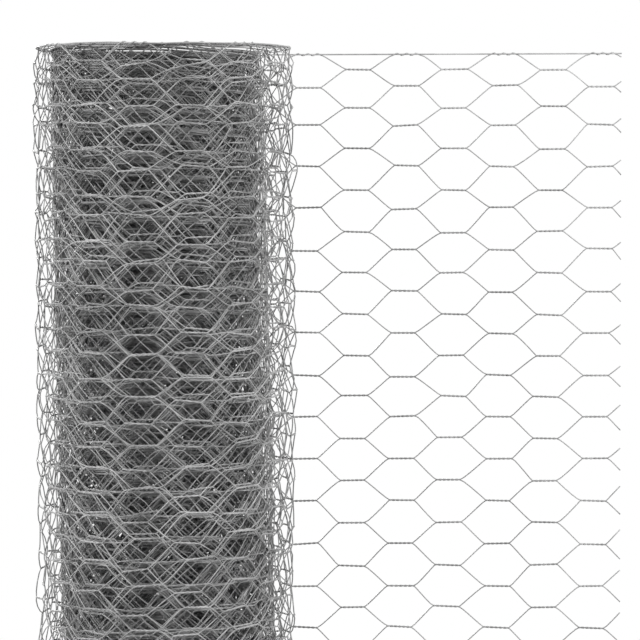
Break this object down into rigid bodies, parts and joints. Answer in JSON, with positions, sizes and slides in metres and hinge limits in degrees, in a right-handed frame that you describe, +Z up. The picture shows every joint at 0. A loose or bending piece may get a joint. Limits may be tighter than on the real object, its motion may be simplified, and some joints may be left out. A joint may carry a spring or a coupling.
{
  "type": "roll of hexagonal wire netting",
  "caption": "Upright roll of galvanised hexagonal wire netting with an open bore and its free end drawn out flat, ready to be unrolled along a fence or cage.",
  "frame": {"origin": "on the roll's axis, at the bottom edge wire that the roll stands on", "axes": "+Z up along the roll's axis and bore; +X the way the free end runs, which lies flat at +Y, along the roll's back"},
  "size_m": [0.5538, 0.2469, 1],
  "materials": {
    "galvanised_wire": "hot-dip galvanised after weaving, dull grey"
  },
  "bodies": {
    "root": {"netting_roll": "galvanised_wire", "unrolled_end": "galvanised_wire"}
  },
  "joints": []
}
